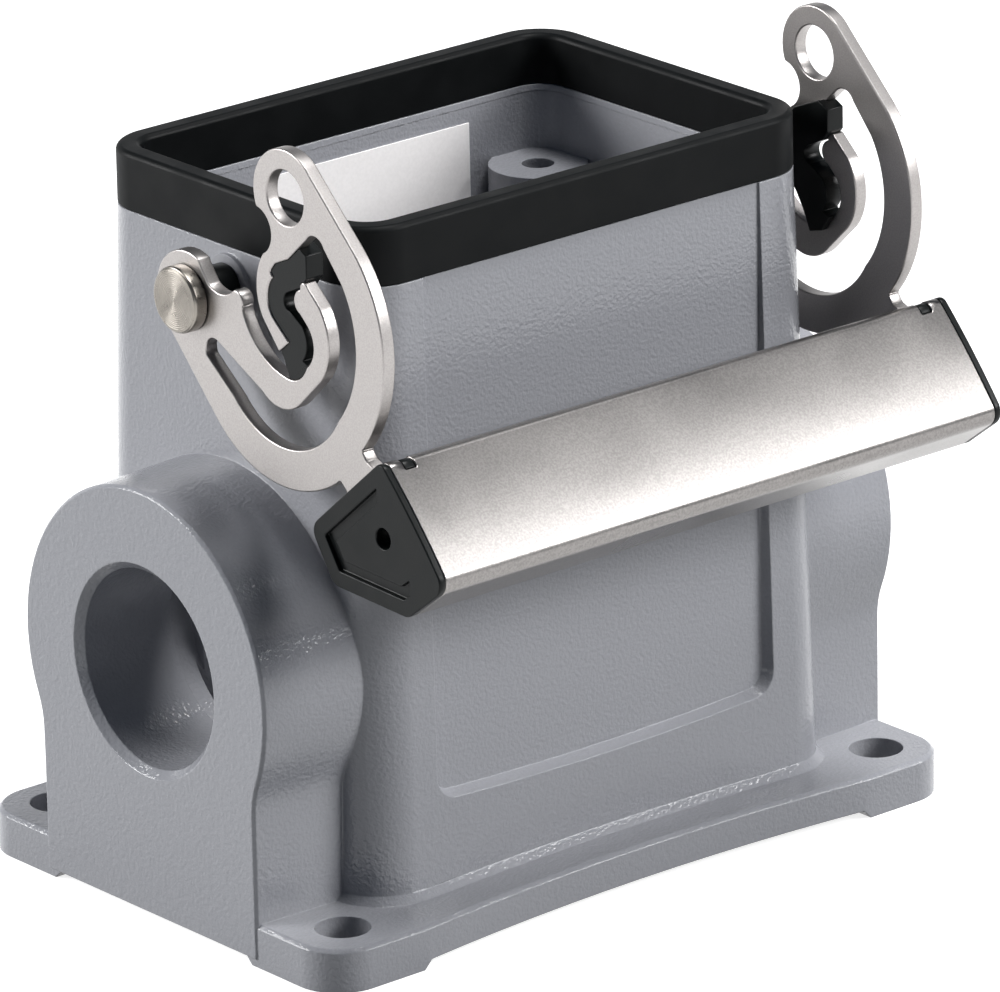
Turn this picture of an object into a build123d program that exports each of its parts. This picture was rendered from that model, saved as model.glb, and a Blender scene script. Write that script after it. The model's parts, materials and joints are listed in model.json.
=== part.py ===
from build123d import *
import os
from math import acos, atan2, cos, degrees, hypot, radians, sin, tan

# A surface mounting connector housing with one locking lever, in millimetres.
# The origin is the centre of the four mounting holes, in the plane of the feet.
# X runs along the long side (the cable entry is at -X), -Y is the lever side, Z is up.

# Feet and mounting holes
HOLE_PITCH_X = 70.0
HOLE_PITCH_Y = 45.0
HOLE_D = 5.5
FOOT_END = 5.8            # metal past a hole centre, along X
FOOT_SIDE = 5.5           # metal past a hole centre, along Y
FOOT_R = 5.0
FLANGE_T = 3.6
FLANGE_EDGE = 0.4         # bevel along the flange's top edge
PAD_H = 0.9               # the four pads stand this far below the flange
PAD_L = 11.5
PAD_W = 12.5
PAD_SLOPE = 45.0          # degrees, the pads' sides
WAIST = 1.8               # how far the long flange edges draw in at the middle
WAIST_END = 6.0           # the waist stops this far short of the hole centres

# Housing walls
RIM_L = 58.3
RIM_W = 41.2
RIM_R = 5.5
SHOULDER_Z = 67.2         # the seal's outer skirt ends here
WALL_T = 2.5
DRAFT = 1.2               # degrees, the walls spread towards the foot
CAVITY_DRAFT = 0.5
FLOOR_T = 3.0

# Recessed panel in each long wall, and the hollow foot below it
PANEL_MARGIN = 7.65       # plain wall at each side of the panel
PANEL_DEPTH = 0.25        # at the shoulder
PANEL_LOW = 14.2
PANEL_SAG = 0.5
PANEL_R = 2.0
LEDGE_SLOPE = 20.0
FOOT_SCOOP = 0.9
SCOOP_GAP = 1.0           # plain wall between the panel's ledge and the hollow
SCOOP_OVER = 2.0          # the hollow runs this far past the panel's sides

# End bosses, the left one with the cable entry
BOSS_R = 18.7
BOSS_Z = 26.3
BOSS_STEP = 0.2           # end faces, past the flange's ends
BOSS_LEG = 16.6           # half width where a boss runs down to the flange
BOSS_BLEND_R = 9.0
BOSS_ROOT = 2.0           # a boss starts this far inside the rim's end
BOSS_DRAFT = 2.1          # degrees, a boss widens from its end face to its root
BOSS_EDGE = 0.3           # bevel round an end face
FOOT_BEVEL = 0.8          # where the walls meet the flange
ENTRY_D = 20.4
ENTRY_CHAMFER = 0.8
ENTRY_LEN = 11.6          # the entry's bore, from its end face
ENTRY_RELIEF_D = 24.0     # wider hollow behind the bore, inside the wall
BLANK_T = 3.0             # metal left at the closed boss
BLANK_CORE_D = 19.0       # hollow of the closed boss

# Seats for the contact insert's corner screws
INSERT_PITCH_X = 44.0
INSERT_PITCH_Y = 27.0
INSERT_HOLE_D = 3.3
INSERT_HOLE_DEPTH = 10.0
INSERT_DROP = 12.0        # seats, below the seal's top
POST_R = 5.1

# Profile seal on the rim
SEAL_H = 6.0
SEAL_SKIRT = 0.8
SEAL_STEP = 0.7           # the inner skirt is shorter than the outer one
SEAL_CROWN = 1.8          # rubber above the rim's tongue
SEAL_EDGE = 0.4           # bevel along the seal's top edges

# Label on the inside of the back wall
LABEL_L = 26.4
LABEL_H = 12.0
LABEL_T = 0.15
LABEL_X = 3.5
LABEL_DROP = 7.6          # upper edge, below the seal's top

# Drawing centre of the lever
LEVER_Y = -0.8
LEVER_DROP = 3.2          # below the shoulder

# Lever pivot
EYE_BACK = 0.3            # axis, behind the drawing centre
EYE_LOW = 0.6             # axis, below the drawing centre
STUD_D = 3.4
STUD_FIT = 0.05           # radial play of the lever on the stud
STUD_HEAD_D = 6.7
STUD_HEAD_T = 1.5
STUD_HEAD_EDGE = 0.25
STUD_PRESS = 2.1          # depth of the stud in the wall
STUD_SEAT_D = 6.4
STUD_SEAT_H = 0.55        # height of the round seat on the end wall
BUSH_D = 4.8
BUSH_LEN = 3.3
SIDE_PLAY = 0.1           # on both sides of a lever plate

# Lever plates, with places given to the front of the drawing centre and above it
PLATE_T = 1.5
EYE_R = 4.7
HOOP_AHEAD = 14.0         # centre of the hoop's lower round
HOOP_LOW = 2.5
HOOP_R = 13.9
HOOP_BAND = 4.1
HOOP_TURN = 330.0         # degrees, where the hoop's lower round ends
LUG_AHEAD = 15.2
LUG_UP = 13.1
LUG_R = 4.8
LUG_HOLE_D = 5.5

# Slot liners
LINER_RECESS = 0.15
LINER_FLANGE_T = 0.8

# Grip bar and its end caps
GRIP_T = 0.8
GRIP_OVER = 0.8           # the sheet ends this far outside the plates
GRIP_CORNERS = [(30.5, -9.1), (39.6, -19.7), (34.1, -23.9), (23.1, -23.5), (19.7, -18.4)]
GRIP_FOLD_R = 1.6
GRIP_TOP_R = 1.0
GRIP_CROWN = 0.25         # the front face bulges by this much
NOTCH_IN = 2.2            # middle of a notch, from the sheet's end
NOTCH_W = 1.4
NOTCH_DEPTH = 1.5
CAP_HEAD_T = 0.8
CAP_RIM = 1.7
CAP_GROOVE_W = 1.2
CAP_GROOVE_DEPTH = 0.5
CAP_HOLE_C = (30.7, -16.8)
CAP_HOLE_D = 2.1
TONGUE_PLAY = 0.05
BARB_SINK = 0.1           # the cap's barb, below the sheet's outer face

# Extra depth of a cutting or joining shape past the face it passes
OVERCUT = 1.0

# Places that follow from the sizes
FLANGE_TOP = PAD_H + FLANGE_T
BASE_L = HOLE_PITCH_X + 2 * FOOT_END
BASE_W = HOLE_PITCH_Y + 2 * FOOT_SIDE
CAVITY_L = RIM_L - 2 * WALL_T
CAVITY_W = RIM_W - 2 * WALL_T
CAVITY_R = RIM_R - WALL_T
FLOOR_Z = PAD_H + FLOOR_T
BOSS_X = BASE_L / 2 + BOSS_STEP
BOSS_OUT = BOSS_X - RIM_L / 2
PANEL_L = RIM_L - 2 * PANEL_MARGIN
SEAL_TOP = SHOULDER_Z + SEAL_H
SEAL_INNER_Z = SHOULDER_Z + SEAL_STEP
TONGUE_Z = SEAL_TOP - SEAL_CROWN
INSERT_SEAT_Z = SEAL_TOP - INSERT_DROP
LABEL_TOP = SEAL_TOP - LABEL_DROP
LEVER_Z = SHOULDER_Z - LEVER_DROP
EYE_C = (-EYE_BACK, -EYE_LOW)
HOOP_C = (HOOP_AHEAD, -HOOP_LOW)
LUG_C = (LUG_AHEAD, LUG_UP)
PIVOT_Y = LEVER_Y + EYE_BACK
PIVOT_Z = LEVER_Z - EYE_LOW
STUD_SEAT_X = RIM_L / 2 + STUD_SEAT_H
PLATE_IN = STUD_SEAT_X + BUSH_LEN + SIDE_PLAY
PLATE_X = PLATE_IN + PLATE_T
GRIP_X = PLATE_X + GRIP_OVER
NOTCH_X = GRIP_X - NOTCH_IN
SPREAD = tan(radians(DRAFT))


def polar(centre, radius, angle):
    return (centre[0] + radius * cos(radians(angle)), centre[1] + radius * sin(radians(angle)))


def arc_on(centre, radius, first, last):
    """The middle and the end of an arc between two angles, as a step for outline."""
    return [polar(centre, radius, (first + last) / 2), polar(centre, radius, last)]


def outline(start, *steps):
    """A closed face. A step of one point is a straight edge, one of two points is an arc."""
    edges = []
    here = start
    for step in steps:
        if len(step) == 1:
            edges.append(Line(here, step[0]))
        else:
            edges.append(ThreePointArc(here, step[0], step[1]))
        here = step[-1]
    if hypot(here[0] - start[0], here[1] - start[1]) > 1e-6:
        edges.append(Line(here, start))
    return make_face(edges)


def bar(length, width, bottom, top, radius):
    """An upright block with rounded corners between two heights."""
    return extrude(Pos(0, 0, bottom) * RectangleRounded(length, width, radius), top - bottom)


def tapered(length, width, radius, low, high, draft):
    """A block of the given size at its top, whose walls lean out by the draft angle further down."""
    size = length + width + high
    block = Pos(0, 0, (low + high) / 2) * Box(size, size, high - low)
    for side in (-1, 1):
        end = Pos(side * length / 2, 0, high) * Rot(0, -side * draft, 0)
        block -= end * Pos(side * size / 2, 0, 0) * Box(size, 2 * size, 3 * size)
        wall = Pos(0, side * width / 2, high) * Rot(side * draft, 0, 0)
        block -= wall * Pos(0, side * size / 2, 0) * Box(2 * size, size, 3 * size)
    upright = [e for e in block.edges() if e.bounding_box().size.Z > (high - low) / 2]
    return fillet(upright, radius)


def corners(pitch_x, pitch_y):
    return [(sx * pitch_x / 2, sy * pitch_y / 2) for sx in (-1, 1) for sy in (-1, 1)]


def lever_plane(x):
    """A plane across X at the drawing centre. Its own x runs to the front and its own y runs up."""
    return Plane(origin=(x, LEVER_Y, LEVER_Z), x_dir=(0, -1, 0), z_dir=(-1, 0, 0))


def lever_solid(face, first_x, last_x):
    """A face drawn from the lever's centre, given thickness between two places along X."""
    return extrude(lever_plane(first_x) * face, first_x - last_x)


def mirrored(solid):
    return mirror(solid, Plane.YZ)


# Housing

def flange():
    """The foot plate with its waisted long edges, its corner pads and their bevels."""
    plate = bar(BASE_L, BASE_W, PAD_H, FLANGE_TOP, FOOT_R)
    reach = HOLE_PITCH_X / 2 - WAIST_END
    scoop_r = (reach**2 + WAIST**2) / (2 * WAIST)
    for side in (-1, 1):
        hollow = Cylinder(scoop_r, 3 * FLANGE_TOP)
        plate -= Pos(0, side * (BASE_W / 2 - WAIST + scoop_r), 0) * hollow
    pads = bar(BASE_L, BASE_W, 0, PAD_H, FOOT_R)
    gap_x = BASE_L - 2 * PAD_L
    gap_y = BASE_W - 2 * PAD_W
    for length, width in ((gap_x, 2 * BASE_W), (2 * BASE_L, gap_y)):
        pads -= extrude(Rectangle(length, width), PAD_H, taper=PAD_SLOPE)
    top_edges = plate.edges().filter_by_position(Axis.Z, FLANGE_TOP - 0.01, FLANGE_TOP + 0.01)
    plate = chamfer(top_edges, FLANGE_EDGE)
    return plate + pads


def boss_face():
    """The outline of an end boss: a round on two straight legs, which run on below the flange."""
    leg_h = BOSS_Z + BOSS_R
    face = Pos(0, BOSS_Z) * Circle(BOSS_R)
    face += Pos(0, BOSS_Z - leg_h / 2) * Rectangle(2 * BOSS_LEG, leg_h)
    hips = [v for v in face.vertices() if FLANGE_TOP < v.Y < BOSS_Z]
    return fillet(hips, BOSS_BLEND_R)


def boss(side):
    """An end boss, flared towards the wall that carries it."""
    end = Plane(origin=(side * BOSS_X, 0, 0), x_dir=(0, 1, 0), z_dir=(1, 0, 0))
    length = BOSS_OUT + BOSS_ROOT
    solid = extrude(end * boss_face(), -side * length, taper=-BOSS_DRAFT)
    face = solid.faces().sort_by(Axis.X)[-1 if side > 0 else 0]
    rim = [e for e in face.edges() if e.center().Z > -BOSS_R / 2]
    solid = chamfer(rim, BOSS_EDGE)
    below = Pos(0, 0, PAD_H - BOSS_R) * Box(4 * BOSS_X, 4 * BOSS_R, 2 * BOSS_R)
    return solid - below


def panel_cut(side):
    """The recess in a long wall. Its floor is upright, so the drafted wall makes it deeper below."""
    half = PANEL_L / 2
    top = SHOULDER_Z + OVERCUT
    low = PANEL_LOW
    shape = outline(
        (-half, top), [(-half, low + PANEL_R)],
        [(-half + 0.3 * PANEL_R, low + 0.3 * PANEL_R), (-half + PANEL_R, low)],
        [(0, low - PANEL_SAG), (half - PANEL_R, low)],
        [(half - 0.3 * PANEL_R, low + 0.3 * PANEL_R), (half, low + PANEL_R)],
        [(half, top)])
    floor_y = side * (RIM_W / 2 - PANEL_DEPTH)
    floor = Plane(origin=(0, floor_y, 0), x_dir=(1, 0, 0), z_dir=(0, -1, 0))
    return extrude(floor * shape, -side * 2 * WALL_T, taper=-LEDGE_SLOPE)


def foot_scoop(side):
    """A large round leaned against the wall's foot, which hollows it between the corners."""
    high = PANEL_LOW - PANEL_SAG - SCOOP_GAP
    drop = high - FLANGE_TOP
    half = PANEL_L / 2 + SCOOP_OVER
    radius = (half**2 + FOOT_SCOOP**2) / (2 * FOOT_SCOOP)
    face_y = RIM_W / 2 + SPREAD * (SHOULDER_Z - high)
    lean = degrees(atan2(FOOT_SCOOP - SPREAD * drop, drop))
    tool = Pos(0, 0, -drop) * Cylinder(radius, 4 * drop)
    tool = Pos(0, side * face_y, high) * Rot(-side * lean, 0, 0) * Pos(0, side * radius, 0) * tool
    reach = high - PAD_H
    window = Pos(0, side * face_y, PAD_H + reach / 2) * Box(2 * half, 4 * WALL_T, reach)
    return tool & window


def cavity():
    """The space for the contact insert and its wires, with a post at each corner screw."""
    space = tapered(CAVITY_L, CAVITY_W, CAVITY_R, FLOOR_Z, SEAL_TOP, -CAVITY_DRAFT)
    for x, y in corners(INSERT_PITCH_X, INSERT_PITCH_Y):
        space -= Pos(x, y, INSERT_SEAT_Z / 2) * Cylinder(POST_R, INSERT_SEAT_Z)
    return space


def footed(walls):
    """The walls run together with the flange, with a bevel along the foot."""
    plate = flange()
    whole = walls + plate
    seam = [e for e in new_edges(walls, plate, combined=whole) if abs(e.center().Z - FLANGE_TOP) < PAD_H]
    return chamfer(seam, FOOT_BEVEL)


def stud_seat(side):
    """A flat round on an end wall, below the shoulder, which a bush stands on."""
    depth = STUD_SEAT_H + OVERCUT
    disc = Rot(0, 90, 0) * Cylinder(STUD_SEAT_D / 2, depth)
    disc = Pos(side * (STUD_SEAT_X - depth / 2), PIVOT_Y, PIVOT_Z) * disc
    above = Pos(0, 0, SHOULDER_Z + STUD_SEAT_D / 2) * Box(3 * STUD_SEAT_X, 2 * STUD_SEAT_D, STUD_SEAT_D)
    return disc - above


def housing():
    """The die-cast housing, one casting from the feet to the rim."""
    body = tapered(RIM_L, RIM_W, RIM_R, PAD_H, SHOULDER_Z, DRAFT)
    for side in (-1, 1):
        body -= panel_cut(side)
        body -= foot_scoop(side)
    body = footed(body)
    for side in (-1, 1):
        body += boss(side)
        body += stud_seat(side)
    body += seal_seat()
    body -= cavity()
    entry_x = -BOSS_X + ENTRY_LEN / 2
    body -= Pos(entry_x, 0, BOSS_Z) * Rot(0, 90, 0) * Cylinder(ENTRY_D / 2, ENTRY_LEN)
    hollow_len = BOSS_X - CAVITY_L / 2 + OVERCUT
    relief_len = hollow_len - ENTRY_LEN
    relief_x = -BOSS_X + ENTRY_LEN + relief_len / 2
    body -= Pos(relief_x, 0, BOSS_Z) * Rot(0, 90, 0) * Cylinder(ENTRY_RELIEF_D / 2, relief_len)
    lead_x = -BOSS_X + ENTRY_CHAMFER / 2
    lead_in = Cone(ENTRY_D / 2, ENTRY_D / 2 + ENTRY_CHAMFER, ENTRY_CHAMFER)
    body -= Pos(lead_x, 0, BOSS_Z) * Rot(0, -90, 0) * lead_in
    blank_len = hollow_len - BLANK_T
    blank_x = BOSS_X - BLANK_T - blank_len / 2
    body -= Pos(blank_x, 0, BOSS_Z) * Rot(0, 90, 0) * Cylinder(BLANK_CORE_D / 2, blank_len)
    for x, y in corners(HOLE_PITCH_X, HOLE_PITCH_Y):
        body -= Pos(x, y, FLANGE_TOP / 2) * Cylinder(HOLE_D / 2, 3 * FLANGE_TOP)
    for x, y in corners(INSERT_PITCH_X, INSERT_PITCH_Y):
        hole_z = INSERT_SEAT_Z - INSERT_HOLE_DEPTH / 2
        body -= Pos(x, y, hole_z) * Cylinder(INSERT_HOLE_D / 2, INSERT_HOLE_DEPTH)
    for side in (-1, 1):
        hole_x = STUD_SEAT_X - STUD_PRESS / 2
        body -= Pos(side * hole_x, PIVOT_Y, PIVOT_Z) * Rot(0, 90, 0) * Cylinder(STUD_D / 2, STUD_PRESS)
    return body


def rim_ring(outer_gap, inner_gap, low, high):
    """A ring that follows the rim, set in from its outer and inner faces."""
    length = RIM_L - 2 * outer_gap
    width = RIM_W - 2 * outer_gap
    ring = bar(length, width, low, high, RIM_R - outer_gap)
    hole = bar(CAVITY_L + 2 * inner_gap, CAVITY_W + 2 * inner_gap, low, high, CAVITY_R + inner_gap)
    return ring - hole


def seal_seat():
    """The step and the thin tongue on the rim, which the seal's groove grips."""
    step = rim_ring(SEAL_SKIRT, 0, SHOULDER_Z - OVERCUT, SEAL_INNER_Z)
    tongue = rim_ring(SEAL_SKIRT, SEAL_SKIRT, SHOULDER_Z - OVERCUT, TONGUE_Z)
    return step + tongue


def profile_seal():
    """The rubber seal with its outer and inner skirts, pushed over the tongue."""
    seal = rim_ring(0, 0, SHOULDER_Z, SEAL_TOP)
    top_edges = seal.edges().filter_by_position(Axis.Z, SEAL_TOP - 0.01, SEAL_TOP + 0.01)
    seal = chamfer(top_edges, SEAL_EDGE)
    return seal - seal_seat()


def label():
    """The bare label on the back wall, inside."""
    slab = Pos(LABEL_X, CAVITY_W / 2, LABEL_TOP - LABEL_H / 2) * Box(LABEL_L, 2 * WALL_T, LABEL_H)
    skin = tapered(CAVITY_L, CAVITY_W, CAVITY_R, FLOOR_Z, SEAL_TOP, -CAVITY_DRAFT)
    inside = Pos(0, -LABEL_T, 0) * skin
    return (slab & skin) - inside


# Pivots

def pivot_stud():
    """A turned stud: pressed into the wall at one end, with a round head at the other."""
    inner_x = STUD_SEAT_X - STUD_PRESS
    head_x = PLATE_X + SIDE_PLAY
    shank_len = head_x - inner_x
    stud = Pos(-inner_x - shank_len / 2, 0, 0) * Rot(0, 90, 0) * Cylinder(STUD_D / 2, shank_len)
    head = Pos(-head_x - STUD_HEAD_T / 2, 0, 0) * Rot(0, 90, 0) * Cylinder(STUD_HEAD_D / 2, STUD_HEAD_T)
    head = chamfer(head.edges().sort_by(Axis.X)[:1], STUD_HEAD_EDGE)
    return Pos(0, PIVOT_Y, PIVOT_Z) * (stud + head)


def spacer_bush():
    """The plastic bush that holds a lever plate clear of the wall."""
    ring = Cylinder(BUSH_D / 2, BUSH_LEN) - Cylinder(STUD_D / 2, BUSH_LEN)
    return Pos(-STUD_SEAT_X - BUSH_LEN / 2, PIVOT_Y, PIVOT_Z) * Rot(0, 90, 0) * ring


# Lever

def tangent_angle(c1, r1, c2, r2, side):
    """The angle at which a straight edge touches two rounds on the same side of both."""
    reach = hypot(c2[0] - c1[0], c2[1] - c1[1])
    heading = degrees(atan2(c2[1] - c1[1], c2[0] - c1[0]))
    return heading + side * degrees(acos((r1 - r2) / reach))


def plate_face():
    """The lever plate: an eye, a hoop with a lug, a spring finger and a curled arm around a slot."""
    low = tangent_angle(EYE_C, EYE_R, HOOP_C, HOOP_R, -1) + 360
    hoop_in = HOOP_R - HOOP_BAND
    face = outline(
        polar(EYE_C, EYE_R, low),
        [polar(HOOP_C, HOOP_R, low)],
        arc_on(HOOP_C, HOOP_R, low, HOOP_TURN),
        [(29.4, -0.4), (25.3, 10.0)],
        [polar(LUG_C, LUG_R, 40)],
        arc_on(LUG_C, LUG_R, 40, 203),
        [(12.9, 9.1), (11.6, 6.7)],
        [(10.45, 3.4), (11.3, 0.2)],
        [(13.7, -2.7)],
        [(15.2, -1.4)],
        [(12.9, 0.5)],
        [(12.1, 2.4), (13.0, 4.6)],
        [(12.6, 5.2)],
        [(13.4, 6.1)],
        [(15.4, 7.0)],
        [(18.2, 9.6)],
        [(19.6, 10.2), (20.8, 9.3)],
        [(23.4, 6.3)],
        [(25.25, 0.2), polar(HOOP_C, hoop_in, HOOP_TURN)],
        [polar(HOOP_C, hoop_in, 276), polar(HOOP_C, hoop_in, 222)],
        [(2.6, -5.8)],
        [(2.8, -4.25), (4.5, -4.1)],
        [(11.0, -7.4)],
        [(13.8, -8.45), (16.8, -7.2)],
        [(19.9, -4.2)],
        [(21.25, -0.5), (19.9, 3.3)],
        [(17.9, 5.1)],
        [(17.35, 5.1), (17.2, 4.4)],
        [(16.15, 3.1), (17.0, 1.9)],
        [(18.1, 0.9)],
        [(18.9, -0.8), (17.8, -3.3)],
        [(16.8, -4.6), (15.3, -5.1)],
        [(11.0, -3.5), (8.2, 0.3)],
        [(8.0, 1.6), (7.0, 1.9)],
        [(5.1, 1.0), (3.1, 1.6)],
        [(2.2, 2.8)],
        [polar(EYE_C, EYE_R, 66)],
        arc_on(EYE_C, EYE_R, 66, low))
    return face


def grip_face():
    """The outer outline of the grip bar's section, with a slightly bulging front face."""
    top, front = GRIP_CORNERS[0], GRIP_CORNERS[1]
    width = hypot(front[0] - top[0], front[1] - top[1])
    bulge_x = (top[0] + front[0]) / 2 + GRIP_CROWN * (top[1] - front[1]) / width
    bulge_y = (top[1] + front[1]) / 2 + GRIP_CROWN * (front[0] - top[0]) / width
    face = outline(top, [(bulge_x, bulge_y), front], *[[p] for p in GRIP_CORNERS[2:]])
    face = fillet(face.vertices().sort_by(Axis.Y)[-1:], GRIP_TOP_R)
    sharp = [v for v in face.vertices() if v.Y < top[1] - 2 * GRIP_TOP_R]
    return fillet(sharp, GRIP_FOLD_R)


def grip_room():
    """The space inside the folded sheet."""
    return offset(grip_face(), -GRIP_T)


def tongue_face():
    """The room that the end cap's tongue takes under the upper fold."""
    return grip_room() & (Pos(*GRIP_CORNERS[0]) * Circle(GRIP_TOP_R + NOTCH_DEPTH))


def tab_face():
    """The part of a lever plate that runs into the grip bar and seats on its inner faces."""
    neck = outline(
        (21.4, -12.6), [(23.3, -14.2)], [(25.2, -17.6)],
        [(30.0, -15.6)], [(29.4, -12.4)], [(28.3, -11.2)], [(26.5, -10.5)], [(25.0, -8.5)])
    front = outline((25.2, -17.6), [(25.2, -26)], [(42, -26)], [(42, -12)], [(33.6, -10)], [(30.0, -13.4)])
    return neck + (grip_room() & front) - tongue_face()


def lever_plate():
    face = plate_face() + tab_face()
    face -= Pos(*EYE_C) * Circle(STUD_D / 2 + STUD_FIT)
    face -= Pos(*LUG_C) * Circle(LUG_HOLE_D / 2)
    return lever_solid(face, -PLATE_IN, -PLATE_X)


def slot_liner():
    """The plastic liner that clips round the spring finger and lines the slot beside it."""
    room = outline(
        (11.9, 4.0), [(11.7, 5.4)], [(13.0, 7.1)], [(16.6, 8.6)], [(18.0, 7.9)], [(18.0, 5.6)], [(17.2, 4.6)],
        [(16.4, 4.2), (15.1, 3.6)],
        [(14.5, 2.6), (15.4, 1.7)],
        [(17.1, 0.7)],
        [(17.8, -0.9), (17.1, -2.8)],
        [(18.1, -3.2)],
        [(17.0, -4.9)],
        [(15.2, -5.4)],
        [(14.2, -3.2)],
        [(13.2, -1.6)],
        [(12.0, -0.2)],
        [(11.4, 1.8), (11.9, 4.0)])
    strip = room - plate_face()
    liner = lever_solid(strip, -PLATE_IN, -PLATE_X + LINER_RECESS)
    flange_face = room & plate_face()
    cheek = flange_face + strip
    return liner + lever_solid(cheek, -PLATE_IN + LINER_FLANGE_T, -PLATE_IN)


def grip_bar():
    """The folded sheet between the plates: open at the back, notched at both ends of its top fold."""
    section = grip_face() - grip_room()
    opening = outline((12, -30), [(24.2, -30)], [(24.2, -19)], [(30.2, -12.6)], [(26.7, -8.5)], [(12, -8.5)])
    section -= opening
    sheet = lever_solid(section, GRIP_X, -GRIP_X)
    notch = Pos(*GRIP_CORNERS[0]) * Circle(NOTCH_DEPTH)
    for side in (-1, 1):
        sheet -= lever_solid(notch, side * NOTCH_X + NOTCH_W / 2, side * NOTCH_X - NOTCH_W / 2)
    return sheet


def cap_groove():
    """The channel round the cap's centre, along its upper, rear and lower edges."""
    outer = offset(grip_face(), -CAP_RIM)
    inner = offset(grip_face(), -CAP_RIM - CAP_GROOVE_W)
    front = outline(
        (29.8, -5), [(29.8, -13.4)], [(34.4, -18.6)], [(34.4, -30)],
        [(50, -30)], [(50, -5)])
    return outer - inner - front


def end_cap():
    """A moulded cap: a flat head, a plug in the sheet's end and a tongue that snaps into the notch."""
    outer_x = -GRIP_X - CAP_HEAD_T
    cap = lever_solid(grip_face(), -GRIP_X, outer_x)
    cap += lever_solid(grip_room(), -PLATE_X, -GRIP_X)
    tongue_end = -NOTCH_X + NOTCH_W / 2 - TONGUE_PLAY
    cap += lever_solid(tongue_face(), tongue_end, -PLATE_X)
    barb = (Pos(*GRIP_CORNERS[0]) * Circle(NOTCH_DEPTH - TONGUE_PLAY)) & offset(grip_face(), -BARB_SINK)
    cap += lever_solid(barb, tongue_end, tongue_end - NOTCH_W + 2 * TONGUE_PLAY)
    cap -= lever_solid(cap_groove(), outer_x + CAP_GROOVE_DEPTH, outer_x)
    cap -= lever_solid(Pos(*CAP_HOLE_C) * Circle(CAP_HOLE_D / 2), -PLATE_X, outer_x)
    return cap


def pieces():
    """Every piece by name. Left is the cable entry's end."""
    plate = lever_plate()
    liner = slot_liner()
    cap = end_cap()
    stud = pivot_stud()
    bush = spacer_bush()
    return {
        "housing": housing(),
        "profile_seal": profile_seal(),
        "label": label(),
        "pivot_stud_left": stud,
        "pivot_stud_right": mirrored(stud),
        "spacer_bush_left": bush,
        "spacer_bush_right": mirrored(bush),
        "lever_plate_left": plate,
        "lever_plate_right": mirrored(plate),
        "slot_liner_left": liner,
        "slot_liner_right": mirrored(liner),
        "grip_bar": grip_bar(),
        "end_cap_left": cap,
        "end_cap_right": mirrored(cap),
    }


os.makedirs("parts", exist_ok=True)
for name, piece in pieces().items():
    export_step(piece, "parts/" + name + ".step")
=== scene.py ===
"""Looks of a surface mounting rectangular connector housing with one locking lever.

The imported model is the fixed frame. Every length below is in metres in that frame: X runs along
the long side, the cable entry is at -X, -Y is the lever side and Z is up.
"""

import json
import logging
import math
from abc import ABC, abstractmethod
from dataclasses import dataclass, field
from enum import Enum

import bmesh
import bpy
from mathutils import Matrix, Vector


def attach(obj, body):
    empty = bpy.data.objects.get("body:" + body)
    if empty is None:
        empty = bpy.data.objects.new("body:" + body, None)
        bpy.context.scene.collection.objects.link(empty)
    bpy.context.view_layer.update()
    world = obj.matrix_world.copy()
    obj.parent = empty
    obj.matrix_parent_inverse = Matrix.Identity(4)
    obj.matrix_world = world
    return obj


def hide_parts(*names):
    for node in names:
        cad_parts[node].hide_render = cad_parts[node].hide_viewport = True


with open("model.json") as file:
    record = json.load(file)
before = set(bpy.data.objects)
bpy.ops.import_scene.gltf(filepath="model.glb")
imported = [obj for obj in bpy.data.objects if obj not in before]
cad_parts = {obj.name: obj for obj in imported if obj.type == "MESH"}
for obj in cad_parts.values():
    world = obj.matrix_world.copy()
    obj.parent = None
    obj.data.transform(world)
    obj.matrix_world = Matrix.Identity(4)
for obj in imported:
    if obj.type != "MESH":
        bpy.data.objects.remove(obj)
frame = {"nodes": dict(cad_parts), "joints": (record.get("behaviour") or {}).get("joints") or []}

logging.basicConfig(level=logging.INFO, format="%(message)s")
log = logging.getLogger("scene")

MM = 0.001
WHITE = (1.0, 1.0, 1.0)
NOISE_LOW, NOISE_HIGH = 0.3, 0.7  # the range that most of a noise's values lie in
HINGE = tuple(frame["joints"][0]["pos_m"])
Colour = tuple[float, float, float]
Place = tuple[float, float, float]
Point = tuple[float, float]
Socket = bpy.types.NodeSocket


def linear(red: int, green: int, blue: int) -> Colour:
    """Turns a colour as a screen shows it (0 to 255) into linear light."""

    def channel(value: int) -> float:
        share = value / 255
        return share / 12.92 if share <= 0.04045 else ((share + 0.055) / 1.055) ** 2.4

    return channel(red), channel(green), channel(blue)


class Side(Enum):
    """The two ends of the housing. The value is the sign of X."""

    LEFT = -1
    RIGHT = 1

    @property
    def word(self) -> str:
        """The end's name as the nodes have it."""
        return self.name.lower()


class Body(Enum):
    """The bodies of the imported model."""

    BASE = "base"
    LEVER = "lever"


# Materials


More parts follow.
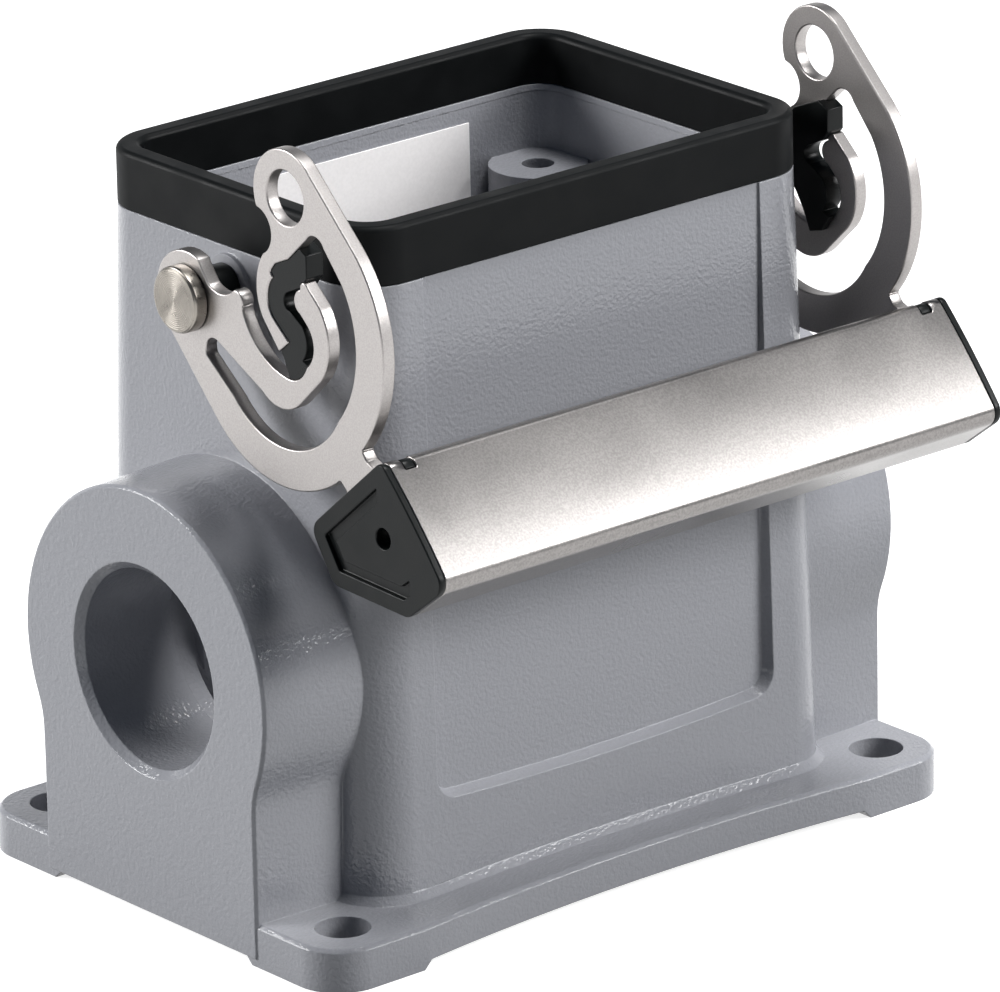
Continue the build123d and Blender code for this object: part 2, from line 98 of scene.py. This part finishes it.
class Graph:
    """A material's node tree, with short calls for the nodes that the finishes share."""

    def __init__(self, name: str) -> None:
        """Starts a material with one surface shader.

        Args:
            name: the material's name.
        """
        self.material = bpy.data.materials.new(name)
        self.material.use_nodes = True
        self.tree = self.material.node_tree
        self.tree.nodes.clear()
        self.shader = self.add("ShaderNodeBsdfPrincipled")
        self.output = self.add("ShaderNodeOutputMaterial")
        self.link(self.shader.outputs["BSDF"], self.output.inputs["Surface"])
        self.place = self.add("ShaderNodeTexCoord").outputs["Object"]
        self.normal: Socket | None = None

    def add(self, kind: str, **settings: object) -> bpy.types.ShaderNode:
        """Adds a node and sets its properties."""
        node = self.tree.nodes.new(kind)
        for key, value in settings.items():
            setattr(node, key, value)
        return node

    def link(self, source: Socket, target: Socket) -> None:
        """Joins an output to an input."""
        self.tree.links.new(source, target)

    def set(self, **values: object) -> None:
        """Sets the surface shader's own values. An underscore stands for a space."""
        for key, value in values.items():
            self.shader.inputs[key.replace("_", " ")].default_value = value

    def moved(self, origin: Place) -> Socket:
        """Object coordinates, counted from another origin."""
        mapping = self.add("ShaderNodeMapping", vector_type="TEXTURE")
        mapping.inputs["Location"].default_value = origin
        self.link(self.place, mapping.inputs["Vector"])
        return mapping.outputs["Vector"]

    def noise(self, size: float, detail: float = 2.0) -> Socket:
        """Noise whose blotches are about the given size.

        Args:
            size: the blotches' size in metres.
            detail: the number of finer layers.

        Returns:
            The noise's value.
        """
        node = self.add("ShaderNodeTexNoise")
        node.inputs["Scale"].default_value = 1 / size
        node.inputs["Detail"].default_value = detail
        self.link(self.place, node.inputs["Vector"])
        return node.outputs["Fac"]

    def spread(self, value: Socket, low: float, high: float) -> Socket:
        """Maps noise's middle range to the range from low to high."""
        node = self.add("ShaderNodeMapRange", interpolation_type="SMOOTHSTEP")
        node.inputs["From Min"].default_value = NOISE_LOW
        node.inputs["From Max"].default_value = NOISE_HIGH
        node.inputs["To Min"].default_value = low
        node.inputs["To Max"].default_value = high
        self.link(value, node.inputs["Value"])
        return node.outputs["Result"]

    def tint(self, value: Socket, dark: Colour, light: Colour) -> None:
        """Colours the surface between two colours by a value."""
        ramp = self.add("ShaderNodeValToRGB")
        ramp.color_ramp.interpolation = "EASE"
        ramp.color_ramp.elements[0].position = NOISE_LOW
        ramp.color_ramp.elements[1].position = NOISE_HIGH
        ramp.color_ramp.elements[0].color = (*dark, 1.0)
        ramp.color_ramp.elements[1].color = (*light, 1.0)
        self.link(value, ramp.inputs["Fac"])
        self.link(ramp.outputs["Color"], self.shader.inputs["Base Color"])

    def soften(self, radius: float) -> None:
        """Lets the coat run round edges and into corners, over a radius in metres."""
        edge = self.add("ShaderNodeBevel", samples=6)
        edge.inputs["Radius"].default_value = radius
        self.normal = edge.outputs["Normal"]

    def relief(self, *layers: tuple[Socket, float]) -> None:
        """Raises the surface by layers of height, each with its depth in metres."""
        for height, depth in layers:
            bump = self.add("ShaderNodeBump")
            bump.inputs["Distance"].default_value = depth
            self.link(height, bump.inputs["Height"])
            if self.normal is not None:
                self.link(self.normal, bump.inputs["Normal"])
            self.normal = bump.outputs["Normal"]
        self.link(self.normal, self.shader.inputs["Normal"])


def shade(colour: Colour, factor: float) -> Colour:
    """The colour made lighter or darker by a factor."""
    return tuple(channel * factor for channel in colour)


@dataclass(frozen=True)
class Finish(ABC):
    """A finish that a piece is painted with."""

    name: str
    colour: Colour
    roughness: float

    @abstractmethod
    def draw(self, graph: Graph) -> None:
        """Fills the material's nodes."""

    def material(self) -> bpy.types.Material:
        """The finish as a material, made once."""
        known = bpy.data.materials.get(self.name)
        if known is not None:
            return known
        graph = Graph(self.name)
        graph.set(Base_Color=(*self.colour, 1.0), Roughness=self.roughness)
        self.draw(graph)
        return graph.material

    def paint(self, piece: bpy.types.Object) -> None:
        """Gives the piece this finish alone."""
        piece.data.materials.clear()
        piece.data.materials.append(self.material())


@dataclass(frozen=True)
class PowderCoat(Finish):
    """Grey powder coat on a casting, with orange peel over the casting's slow waves."""

    name: str = "grey_coat_finish"
    colour: Colour = linear(149, 150, 155)
    roughness: float = 0.17
    gloss: float = 0.36
    peel: float = 0.4 * MM
    peel_depth: float = 0.06 * MM
    grain: float = 0.15 * MM
    grain_depth: float = 0.005 * MM
    wave: float = 11 * MM
    wave_depth: float = 0.016 * MM
    soft: float = 0.18 * MM

    def draw(self, graph: Graph) -> None:
        """Three layers of relief, and a colour that hardly varies."""
        graph.set(Specular_IOR_Level=self.gloss)
        graph.soften(self.soft)
        wave = graph.noise(self.wave, 1.0)
        peel = graph.noise(self.peel, 1.0)
        grain = graph.noise(self.grain, 2.0)
        graph.tint(peel, shade(self.colour, 0.985), shade(self.colour, 1.015))
        rough = graph.spread(wave, self.roughness - 0.03, self.roughness + 0.04)
        graph.link(rough, graph.shader.inputs["Roughness"])
        graph.relief((wave, self.wave_depth), (peel, self.peel_depth), (grain, self.grain_depth))


@dataclass(frozen=True)
class SealRubber(Finish):
    """Matt black rubber with a faint bloom."""

    name: str = "seal_rubber_finish"
    colour: Colour = linear(9, 11, 12)
    roughness: float = 0.5
    gloss: float = 0.1
    bloom: float = 5 * MM
    grain: float = 0.15 * MM
    grain_depth: float = 0.006 * MM

    def draw(self, graph: Graph) -> None:
        """A slow bloom in colour and gloss, and fine grain."""
        graph.set(Specular_IOR_Level=self.gloss)
        bloom = graph.noise(self.bloom, 3.0)
        grain = graph.noise(self.grain, 2.0)
        graph.tint(bloom, shade(self.colour, 0.85), shade(self.colour, 1.15))
        rough = graph.spread(bloom, self.roughness - 0.06, self.roughness + 0.08)
        graph.link(rough, graph.shader.inputs["Roughness"])
        graph.relief((grain, self.grain_depth))


@dataclass(frozen=True)
class SheetSteel(Finish):
    """Stainless sheet with fine grain and small bright specks."""

    grain: float = 0.16 * MM
    grain_depth: float = 0.003 * MM
    speck: float = 0.12
    cloud: float = 14 * MM

    def draw(self, graph: Graph) -> None:
        """Grain in relief and gloss, specks in colour and a slow cloud."""
        graph.set(Metallic=1.0)
        grain = graph.noise(self.grain, 3.0)
        cloud = graph.noise(self.cloud, 2.0)
        graph.tint(grain, shade(self.colour, 1 - self.speck), shade(self.colour, 1 + self.speck))
        rough = graph.spread(cloud, self.roughness - 0.03, self.roughness + 0.04)
        graph.link(rough, graph.shader.inputs["Roughness"])
        graph.relief((grain, self.grain_depth))


@dataclass(frozen=True)
class TurnedSteel(Finish):
    """Turned steel, with the tool's rings round the stud's axis."""

    name: str = "stud_steel_finish"
    colour: Colour = linear(138, 133, 126)
    roughness: float = 0.3
    ring: float = 0.2 * MM
    ring_depth: float = 0.025 * MM

    def draw(self, graph: Graph) -> None:
        """Rings in relief, and fine noise in the gloss and colour."""
        graph.set(Metallic=1.0)
        place = graph.moved(HINGE)
        rings = graph.add("ShaderNodeTexWave", wave_type="RINGS", rings_direction="X")
        rings.inputs["Scale"].default_value = math.pi / (10 * self.ring)
        rings.inputs["Distortion"].default_value = 0.4
        graph.link(place, rings.inputs["Vector"])
        fleck = graph.noise(0.9 * MM, 3.0)
        graph.tint(fleck, shade(self.colour, 0.92), shade(self.colour, 1.06))
        rough = graph.spread(fleck, self.roughness - 0.04, self.roughness + 0.06)
        graph.link(rough, graph.shader.inputs["Roughness"])
        graph.relief((rings.outputs["Fac"], self.ring_depth))


@dataclass(frozen=True)
class MouldedPlastic(Finish):
    """Black moulded plastic with a fine eroded texture."""

    name: str = "black_plastic_finish"
    colour: Colour = linear(12, 15, 15)
    roughness: float = 0.36
    gloss: float = 0.15
    grain: float = 0.2 * MM
    grain_depth: float = 0.007 * MM

    def draw(self, graph: Graph) -> None:
        """Grain in relief and gloss."""
        graph.set(Specular_IOR_Level=self.gloss)
        grain = graph.noise(self.grain, 3.0)
        flow = graph.noise(3 * MM, 2.0)
        graph.tint(flow, shade(self.colour, 0.88), shade(self.colour, 1.12))
        rough = graph.spread(flow, self.roughness - 0.05, self.roughness + 0.06)
        graph.link(rough, graph.shader.inputs["Roughness"])
        graph.relief((grain, self.grain_depth))


@dataclass(frozen=True)
class LabelPaper(Finish):
    """A bare white label with a faint fibre."""

    name: str = "label_white_finish"
    colour: Colour = linear(247, 244, 243)
    roughness: float = 0.55
    fibre: float = 0.3 * MM
    fibre_depth: float = 0.002 * MM

    def draw(self, graph: Graph) -> None:
        """Fibres in relief and colour."""
        fibre = graph.noise(self.fibre, 3.0)
        graph.tint(fibre, shade(self.colour, 0.97), shade(self.colour, 1.02))
        graph.relief((fibre, self.fibre_depth))


SPRING_SHEET = SheetSteel("spring_steel_finish", linear(162, 158, 156), 0.4, speck=0.08)
BAR_SHEET = SheetSteel("bar_steel_finish", linear(133, 130, 128), 0.3, grain=0.22 * MM, speck=0.13)


# Geometry


@dataclass(frozen=True)
class EdgeRounding:
    """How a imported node's sharp edges are rounded and its faces shaded."""

    width: float
    segments: int = 2
    angle: float = math.radians(30)
    flat: float = math.radians(0.4)
    weld: float = 0.001 * MM

    def apply(self, node: bpy.types.Object) -> None:
        """Joins the node's vertices, clears lines inside flat faces and rounds its edges.

        Args:
            node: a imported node. Its own mesh stays as it is.
        """
        weld = node.modifiers.new("weld", "WELD")
        weld.merge_threshold = self.weld
        clear = node.modifiers.new("clear", "DECIMATE")
        clear.decimate_type = "DISSOLVE"
        clear.angle_limit = self.flat
        bevel = node.modifiers.new("bevel", "BEVEL")
        bevel.width = self.width
        bevel.segments = self.segments
        bevel.limit_method = "ANGLE"
        bevel.angle_limit = self.angle
        bevel.use_clamp_overlap = False  # clamping leaves next to nothing on the housing and caps
        bevel.miter_outer = "MITER_ARC"
        shading = node.modifiers.new("shading", "WEIGHTED_NORMAL")
        shading.keep_sharp = False
        shading.weight = 100


def lathe(name: str, profile: list[Point], segments: int) -> bpy.types.Object:
    """Turns a profile round the X axis.

    Args:
        name: the piece's name.
        profile: points of place along X and radius. The first and last lie on the axis.
        segments: faces round the axis.

    Returns:
        A closed, smooth shaded object at the origin.
    """
    work = bmesh.new()
    rings = []
    for place, radius in profile:
        if radius == 0:
            rings.append([work.verts.new((place, 0, 0))])
            continue
        turns = [2 * math.pi * i / segments for i in range(segments)]
        points = [(place, radius * math.cos(t), radius * math.sin(t)) for t in turns]
        rings.append([work.verts.new(point) for point in points])
    for near, far in zip(rings, rings[1:]):
        for i in range(segments):
            after = (i + 1) % segments
            start = [near[i % len(near)], near[after % len(near)]]
            end = [far[after % len(far)], far[i % len(far)]]
            work.faces.new(list(dict.fromkeys(start + end)))
    bmesh.ops.recalc_face_normals(work, faces=work.faces)
    for face in work.faces:
        face.smooth = True
    mesh = bpy.data.meshes.new(name)
    work.to_mesh(mesh)
    work.free()
    piece = bpy.data.objects.new(name, mesh)
    bpy.context.scene.collection.objects.link(piece)
    return piece


def arc(centre: Point, radius: float, first: float, last: float, steps: int) -> list[Point]:
    """Points on an arc between two angles in degrees."""
    turns = (math.radians(first + (last - first) * i / steps) for i in range(steps + 1))
    return [(centre[0] + radius * math.cos(t), centre[1] + radius * math.sin(t)) for t in turns]


# Sub-assemblies


class SubAssembly(ABC):
    """A group of pieces that belong together, as one or both ends of the object have them."""

    body: Body = Body.BASE

    @abstractmethod
    def mesh(self) -> list[bpy.types.Object]:
        """Makes or fetches the pieces, with their shape complete."""

    @abstractmethod
    def dress(self, pieces: list[bpy.types.Object]) -> None:
        """Gives the pieces their finishes."""

    def build(self) -> None:
        """Makes and dresses the pieces, and reports each."""
        pieces = self.mesh()
        self.dress(pieces)
        for piece in pieces:
            log.info("%s: %s on body %s", type(self).__name__, piece.name, self.body.value)


@dataclass
class PackedPieces(SubAssembly):
    """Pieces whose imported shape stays, with rounded edges and a finish."""

    names: tuple[str, ...]
    rounding: EdgeRounding
    finish: Finish
    body: Body = Body.BASE

    def mesh(self) -> list[bpy.types.Object]:
        """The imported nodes, with their edges rounded."""
        nodes = [frame["nodes"][name] for name in self.names]
        for node in nodes:
            self.rounding.apply(node)
        return nodes

    def dress(self, pieces: list[bpy.types.Object]) -> None:
        """One finish for all."""
        for piece in pieces:
            self.finish.paint(piece)


def both(stem: str) -> tuple[str, ...]:
    """The names of a piece at both ends."""
    return tuple(f"{stem}_{side.word}" for side in Side)


@dataclass
class Housing(PackedPieces):
    """The casting, with soft coated edges."""

    names: tuple[str, ...] = ("housing",)
    rounding: EdgeRounding = EdgeRounding(0.06 * MM)
    finish: Finish = PowderCoat()


@dataclass
class RimSeal(PackedPieces):
    """The rubber seal on the rim."""

    names: tuple[str, ...] = ("profile_seal",)
    rounding: EdgeRounding = EdgeRounding(0.2 * MM)
    finish: Finish = SealRubber()


@dataclass
class BareLabel(PackedPieces):
    """The white label inside the back wall."""

    names: tuple[str, ...] = ("label",)
    rounding: EdgeRounding = EdgeRounding(0.03 * MM)
    finish: Finish = LabelPaper()


@dataclass
class SpacerBushes(PackedPieces):
    """The plastic bushes between walls and lever."""

    names: tuple[str, ...] = both("spacer_bush")
    rounding: EdgeRounding = EdgeRounding(0.2 * MM)
    finish: Finish = MouldedPlastic()


@dataclass
class LeverPlates(PackedPieces):
    """The stamped and tumbled lever plates."""

    names: tuple[str, ...] = both("lever_plate")
    rounding: EdgeRounding = EdgeRounding(0.18 * MM, 3)
    finish: Finish = SPRING_SHEET
    body: Body = Body.LEVER


@dataclass
class SlotLiners(PackedPieces):
    """The plastic liners on the spring fingers."""

    names: tuple[str, ...] = both("slot_liner")
    rounding: EdgeRounding = EdgeRounding(0.12 * MM)
    finish: Finish = MouldedPlastic()
    body: Body = Body.LEVER


@dataclass
class GripBar(PackedPieces):
    """The folded sheet between the plates."""

    names: tuple[str, ...] = ("grip_bar",)
    rounding: EdgeRounding = EdgeRounding(0.12 * MM)
    finish: Finish = BAR_SHEET
    body: Body = Body.LEVER


@dataclass
class EndCaps(PackedPieces):
    """The moulded caps in the bar's ends."""

    names: tuple[str, ...] = both("end_cap")
    rounding: EdgeRounding = EdgeRounding(0.15 * MM)
    finish: Finish = MouldedPlastic()
    body: Body = Body.LEVER


@dataclass
class PivotStuds(SubAssembly):
    """The turned studs, whose heads show the tool's rings and a soft rim.

    Places along X are counted from the middle of the housing.
    """

    inner: float = 27.6 * MM
    shank: float = 1.7 * MM
    head_start: float = 34.7 * MM
    head_end: float = 36.2 * MM
    head: float = 3.35 * MM
    rim: float = 0.42 * MM
    back_rim: float = 0.12 * MM
    ring_count: int = 9
    ring_depth: float = 0.02 * MM
    segments: int = 96
    finish: Finish = TurnedSteel()

    def profile(self) -> list[Point]:
        """The stud's half section, from the axis in the wall to the axis on the head."""
        points = [(self.inner, 0.0), (self.inner, self.shank), (self.head_start, self.shank)]
        back = (self.head_start + self.back_rim, self.head - self.back_rim)
        points += arc(back, self.back_rim, 180, 90, 3)
        points += arc((self.head_end - self.rim, self.head - self.rim), self.rim, 90, 0, 8)
        flat = self.head - self.rim
        step = flat / (2 * self.ring_count + 1)
        for i in range(1, 2 * self.ring_count + 1):
            drop = self.ring_depth if i % 2 else 0.0
            points.append((self.head_end - drop, flat - i * step))
        return points + [(self.head_end - self.ring_depth, 0.0)]

    def mesh(self) -> list[bpy.types.Object]:
        """One turned stud in each end wall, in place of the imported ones."""
        studs = []
        for side in Side:
            stud = lathe(f"turned_stud_{side.word}", self.profile(), self.segments)
            if side is Side.LEFT:
                stud.data.transform(Matrix.Rotation(math.pi, 4, "Z"))
            stud.data.transform(Matrix.Translation(HINGE))
            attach(stud, self.body.value)
            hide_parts(f"pivot_stud_{side.word}")
            studs.append(stud)
        return studs

    def dress(self, pieces: list[bpy.types.Object]) -> None:
        """Turned steel."""
        for piece in pieces:
            self.finish.paint(piece)


# Studio


@dataclass(frozen=True)
class Softbox:
    """A large soft light that faces the object."""

    name: str
    place: Place
    size: tuple[float, float]
    power: float
    colour: Colour = WHITE
    target: Place = (0.0, 0.0, 0.035)

    def build(self) -> None:
        """Adds the light."""
        data = bpy.data.lights.new(self.name, "AREA")
        data.shape = "RECTANGLE"
        data.size, data.size_y = self.size
        data.energy = self.power
        data.color = self.colour
        light = bpy.data.objects.new(self.name, data)
        light.location = self.place
        facing = Vector(self.target) - Vector(self.place)
        light.rotation_euler = facing.to_track_quat("-Z", "Y").to_euler()
        bpy.context.scene.collection.objects.link(light)
        log.info("Studio: %s", self.name)


@dataclass(frozen=True)
class Viewpoint:
    """The camera: its place, turn and lens, as the photograph's perspective gives them."""

    place: Place = (-0.5695, -0.6837, 0.3544)
    azimuth: float = -40.04
    elevation: float = 19.77
    roll: float = -1.09
    lens: float = 341.33
    sensor: float = 36.0
    shift: tuple[float, float] = (-0.0014, -0.003)
    clip: tuple[float, float] = (0.01, 100.0)

    def turn(self) -> Matrix:
        """The camera's rotation, from its angles in degrees."""
        a, e, r = (math.radians(angle) for angle in (self.azimuth, self.elevation, self.roll))
        back = Vector((math.sin(a) * math.cos(e), -math.cos(a) * math.cos(e), math.sin(e)))
        right = Vector((math.cos(a), math.sin(a), 0))
        up = back.cross(right)
        across = right * math.cos(r) + up * math.sin(r)
        upright = -right * math.sin(r) + up * math.cos(r)
        return Matrix((across, upright, back)).transposed()

    def build(self) -> None:
        """Adds the camera and makes it the scene's own."""
        data = bpy.data.cameras.new("camera")
        data.sensor_fit = "HORIZONTAL"
        data.sensor_width = self.sensor
        data.lens = self.lens
        data.shift_x, data.shift_y = self.shift
        data.clip_start, data.clip_end = self.clip
        camera = bpy.data.objects.new("camera", data)
        camera.matrix_world = Matrix.Translation(self.place) @ self.turn().to_4x4()
        bpy.context.scene.collection.objects.link(camera)
        bpy.context.scene.camera = camera
        log.info("Studio: camera")


@dataclass(frozen=True)
class StudioFloor(Finish):
    """A grey table that looks white to the camera and in reflections, and keeps the shadow."""

    name: str = "floor_finish"
    colour: Colour = (0.1, 0.105, 0.11)
    roughness: float = 0.9
    seen: Colour = (0.5, 0.5, 0.5)
    glow: float = 0.82

    def draw(self, graph: Graph) -> None:
        """Two looks, chosen by the kind of ray."""
        cloud = graph.noise(0.5, 1.0)
        graph.tint(cloud, shade(self.colour, 0.98), self.colour)
        lit = graph.add("ShaderNodeBsdfDiffuse")
        lit.inputs["Color"].default_value = (*self.seen, 1.0)
        glow = graph.add("ShaderNodeEmission")
        glow.inputs["Strength"].default_value = self.glow
        both_looks = graph.add("ShaderNodeAddShader")
        graph.link(lit.outputs["BSDF"], both_looks.inputs[0])
        graph.link(glow.outputs["Emission"], both_looks.inputs[1])
        path = graph.add("ShaderNodeLightPath")
        ray = path.outputs["Is Camera Ray"]
        for kind in ("Is Glossy Ray", "Is Transmission Ray"):
            either = graph.add("ShaderNodeMath", operation="MAXIMUM")
            graph.link(ray, either.inputs[0])
            graph.link(path.outputs[kind], either.inputs[1])
            ray = either.outputs["Value"]
        choice = graph.add("ShaderNodeMixShader")
        graph.link(ray, choice.inputs["Fac"])
        graph.link(graph.shader.outputs["BSDF"], choice.inputs[1])
        graph.link(both_looks.outputs["Shader"], choice.inputs[2])
        graph.link(choice.outputs["Shader"], graph.output.inputs["Surface"])


@dataclass
class Studio:
    """Camera, lights, floor and surroundings."""

    floor_size: float = 12.0
    backdrop_size: tuple[float, float] = (7.0, 1.6)
    backdrop_away: float = 3.2
    ambient: Colour = (0.02, 0.032, 0.052)
    softboxes: tuple[Softbox, ...] = (
        Softbox("left_back", (-0.84, 0.76, 0.5), (0.6, 0.5), 18.5),
        Softbox("front_right", (0.65, -0.84, 0.585), (0.64, 0.38), 13.6),
        Softbox("top", (0.3, -0.2, 1.2), (0.4, 0.4), 14.0),
    )
    floor_finish: Finish = StudioFloor()
    view: Viewpoint = field(default_factory=Viewpoint)

    def sheet(self, name: str, size: tuple[float, float], pose: Matrix) -> None:
        """A flat sheet of the backdrop's material, which isn't part of the object.

        Args:
            name: the sheet's name.
            size: its length and width.
            pose: its place and turn.
        """
        bpy.ops.mesh.primitive_plane_add(size=1)
        sheet = bpy.context.object
        sheet.name = name
        sheet.data.transform(Matrix.Diagonal((*size, 1, 1)))
        sheet.matrix_world = pose
        self.floor_finish.paint(sheet)
        log.info("Studio: %s", name)

    def sweep(self) -> None:
        """The floor under the feet and the backdrop behind, as the camera looks."""
        self.sheet("studio_floor", (self.floor_size, self.floor_size), Matrix.Identity(4))
        width, height = self.backdrop_size
        turn = Matrix.Rotation(math.radians(self.view.azimuth), 4, "Z")
        upright = Matrix.Rotation(math.pi / 2, 4, "X")
        stand = Matrix.Translation((0, self.backdrop_away, height / 2)) @ upright
        self.sheet("studio_backdrop", (width, height), turn @ stand)

    def surroundings(self) -> None:
        """Even dim, cool light from all round."""
        world = bpy.data.worlds.new("surroundings")
        bpy.context.scene.world = world
        world.use_nodes = True
        nodes, links = world.node_tree.nodes, world.node_tree.links
        nodes.clear()
        even = nodes.new("ShaderNodeBackground")
        even.inputs["Color"].default_value = (*self.ambient, 1.0)
        output = nodes.new("ShaderNodeOutputWorld")
        links.new(even.outputs["Background"], output.inputs["Surface"])

    def build(self) -> None:
        """Sets up the whole studio."""
        bpy.context.scene.view_settings.view_transform = "Standard"
        self.view.build()
        for softbox in self.softboxes:
            softbox.build()
        self.sweep()
        self.surroundings()


def main() -> None:
    """Builds the studio and every sub-assembly in order."""
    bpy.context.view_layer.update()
    Studio().build()
    parts = (
        Housing(),
        RimSeal(),
        BareLabel(),
        PivotStuds(),
        SpacerBushes(),
        LeverPlates(),
        SlotLiners(),
        GripBar(),
        EndCaps(),
    )
    for part in parts:
        part.build()
    bpy.context.view_layer.update()


if __name__ == "__main__":
    main()
